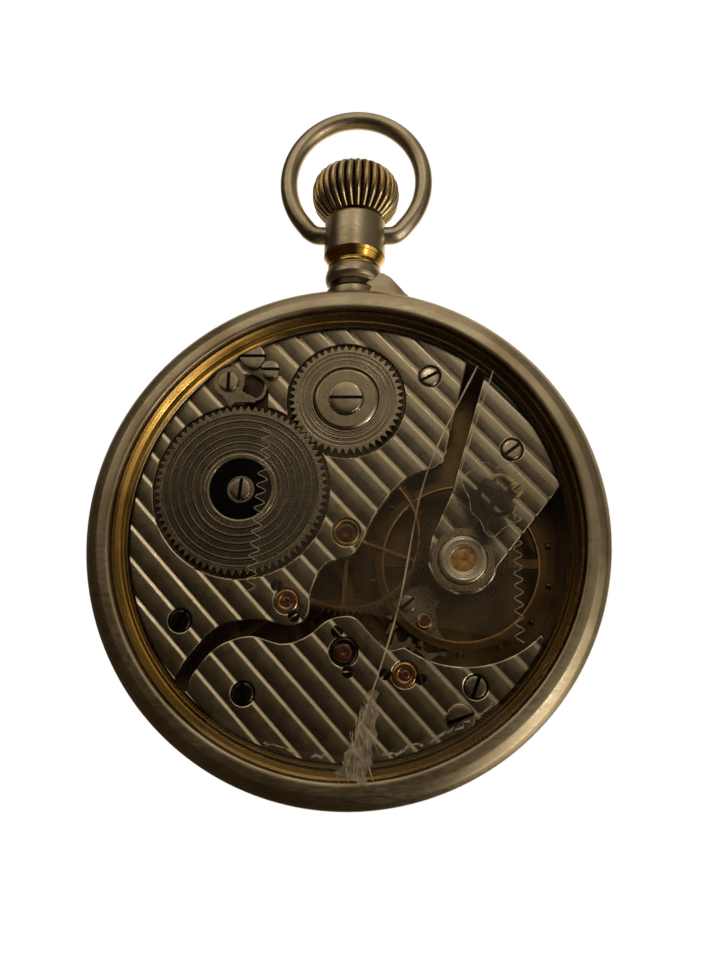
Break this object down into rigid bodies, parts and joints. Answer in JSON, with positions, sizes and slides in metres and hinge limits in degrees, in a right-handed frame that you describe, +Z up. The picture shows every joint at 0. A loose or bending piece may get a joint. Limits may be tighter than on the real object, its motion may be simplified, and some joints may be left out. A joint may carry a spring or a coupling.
{
  "type": "open face pocket watch",
  "caption": "Open face pocket watch with a glass back over its bridge movement, a ribbed winding crown and a swinging bow.",
  "frame": {"origin": "where the bow hangs: the inner top of the bow", "axes": "+Z up through the pendant, glass back towards -Y, dial towards +Y, +X to the right seen from the back"},
  "size_m": [0.0512, 0.0132, 0.0752],
  "materials": {
    "case_metal": "warm nickel case metal, polished and lightly worn",
    "bridge_nickel": "nickel with damaskeened stripes",
    "steel": "polished and snailed steel",
    "blued_steel": "blued steel",
    "gilt": "gilt, bright",
    "brass": "gilt brass, satin",
    "glass": "clear glass",
    "enamel": "white enamel, glossy"
  },
  "bodies": {
    "case": {"case_band": "case_metal", "pendant": "case_metal", "pillar_plate": "brass", "barrel_bridge": "bridge_nickel", "train_bridge": "bridge_nickel", "balance_cock": "bridge_nickel", "pallet_bridge": "bridge_nickel", "centre_jewel": "brass", "third_jewel": "brass", "fourth_jewel": "brass", "escape_jewel": "brass", "balance_jewel": "brass", "barrel_bridge_screw_1": "steel", "barrel_bridge_screw_2": "steel", "train_bridge_screw_1": "steel", "train_bridge_screw_2": "steel", "balance_cock_screw": "steel", "pallet_bridge_screw": "steel", "case_screw_1": "steel", "case_screw_2": "steel", "crown_wheel_cap": "steel", "crown_wheel_screw": "steel", "click_screw": "steel", "click_spring": "steel", "click_spring_screw": "steel", "hairspring": "blued_steel", "regulator_spring": "steel", "regulator_screw": "brass", "dial": "enamel"},
    "bow": {"bow": "case_metal"},
    "winding_pinion": {"winding_pinion": "steel"},
    "crown": {"crown": "case_metal", "stem": "steel"},
    "back_cover": {"back_bezel": "case_metal", "back_ring": "gilt", "back_crystal": "glass"},
    "front_cover": {"front_bezel": "case_metal", "front_crystal": "glass"},
    "crown_wheel": {"crown_wheel": "steel"},
    "ratchet": {"ratchet_wheel": "steel", "ratchet_screw": "steel", "barrel_arbor": "steel"},
    "click": {"click": "steel"},
    "barrel": {"mainspring_barrel": "brass", "barrel_cover": "brass", "mainspring": "blued_steel"},
    "centre_wheel": {"centre_wheel": "brass", "cannon_pinion": "steel", "minute_hand": "blued_steel"},
    "third_wheel": {"third_wheel": "brass"},
    "fourth_wheel": {"fourth_wheel": "brass", "seconds_hand": "blued_steel"},
    "escape_wheel": {"escape_wheel": "steel"},
    "pallet_fork": {"pallet_fork": "steel"},
    "balance": {"balance_wheel": "brass"},
    "regulator": {"regulator": "steel"},
    "minute_wheel": {"minute_wheel": "brass"},
    "hour_wheel": {"hour_wheel": "brass", "hour_hand": "blued_steel"}
  },
  "joints": [
    {"name": "bow_swing", "type": "hinge", "parent": "case", "child": "bow", "pos_m": [0, 0, -0.0138], "axis": [1, 0, 0], "range_deg": [-110, 110]},
    {"name": "crown_turn", "type": "hinge", "parent": "case", "child": "winding_pinion", "pos_m": [0, 0, -0.0295], "axis": [0, 0, 1], "continuous": true},
    {"name": "crown_pull", "type": "slide", "parent": "winding_pinion", "child": "crown", "axis": [0, 0, 1], "range_m": [0, 0.001]},
    {"name": "back_cover_off", "type": "slide", "parent": "case", "child": "back_cover", "axis": [0, -1, 0], "range_m": [0, 0.012]},
    {"name": "front_cover_off", "type": "slide", "parent": "case", "child": "front_cover", "axis": [0, 1, 0], "range_m": [0, 0.012]},
    {"name": "crown_wheel_spin", "type": "hinge", "parent": "case", "child": "crown_wheel", "pos_m": [-0.0003, 0, -0.03435], "axis": [0, -1, 0], "continuous": true},
    {"name": "ratchet_spin", "type": "hinge", "parent": "case", "child": "ratchet", "pos_m": [-0.0104, 0, -0.0436], "axis": [0, -1, 0], "continuous": true},
    {"name": "click_rock", "type": "hinge", "parent": "case", "child": "click", "pos_m": [-0.01215, 0, -0.0326], "axis": [0, -1, 0], "range_deg": [0, 12], "stiffness_Nm_per_rad": 0.0001},
    {"name": "fourth_spin", "type": "hinge", "parent": "case", "child": "fourth_wheel", "pos_m": [0, 0, -0.0589], "axis": [0, -1, 0], "continuous": true},
    {"name": "barrel_spin", "type": "hinge", "parent": "case", "child": "barrel", "pos_m": [-0.0104, 0, -0.0436], "axis": [0, -1, 0], "continuous": true},
    {"name": "centre_spin", "type": "hinge", "parent": "case", "child": "centre_wheel", "pos_m": [0, 0, -0.0477], "axis": [0, -1, 0], "continuous": true},
    {"name": "third_spin", "type": "hinge", "parent": "case", "child": "third_wheel", "pos_m": [-0.00554, 0, -0.05433], "axis": [0, -1, 0], "continuous": true},
    {"name": "escape_spin", "type": "hinge", "parent": "case", "child": "escape_wheel", "pos_m": [0.00565, 0, -0.06087], "axis": [0, -1, 0], "continuous": true},
    {"name": "minute_wheel_spin", "type": "hinge", "parent": "case", "child": "minute_wheel", "pos_m": [0.0022, 0, -0.04389], "axis": [0, -1, 0], "continuous": true},
    {"name": "hour_spin", "type": "hinge", "parent": "case", "child": "hour_wheel", "pos_m": [0, 0, -0.0477], "axis": [0, -1, 0], "continuous": true},
    {"name": "pallet_rock", "type": "hinge", "parent": "case", "child": "pallet_fork", "pos_m": [0.00758, 0, -0.05582], "axis": [0, -1, 0], "range_deg": [-4, 4]},
    {"name": "balance_swing", "type": "hinge", "parent": "case", "child": "balance", "pos_m": [0.0111, 0, -0.05022], "axis": [0, -1, 0], "range_deg": [-270, 270], "stiffness_Nm_per_rad": 0.000001},
    {"name": "regulator_turn", "type": "hinge", "parent": "case", "child": "regulator", "pos_m": [0.0111, 0, -0.05022], "axis": [0, -1, 0], "range_deg": [-6, 6]}
  ],
  "couplings": [
    {"joint": "crown_wheel_spin", "follows": "crown_turn", "ratio": 0.33333},
    {"joint": "ratchet_spin", "follows": "crown_turn", "ratio": -0.22222},
    {"joint": "third_spin", "follows": "fourth_spin", "ratio": -0.13333},
    {"joint": "centre_spin", "follows": "fourth_spin", "ratio": 0.016667},
    {"joint": "barrel_spin", "follows": "fourth_spin", "ratio": -0.0025641},
    {"joint": "escape_spin", "follows": "fourth_spin", "ratio": -10},
    {"joint": "minute_wheel_spin", "follows": "fourth_spin", "ratio": -0.0055556},
    {"joint": "hour_spin", "follows": "fourth_spin", "ratio": 0.0013889}
  ]
}
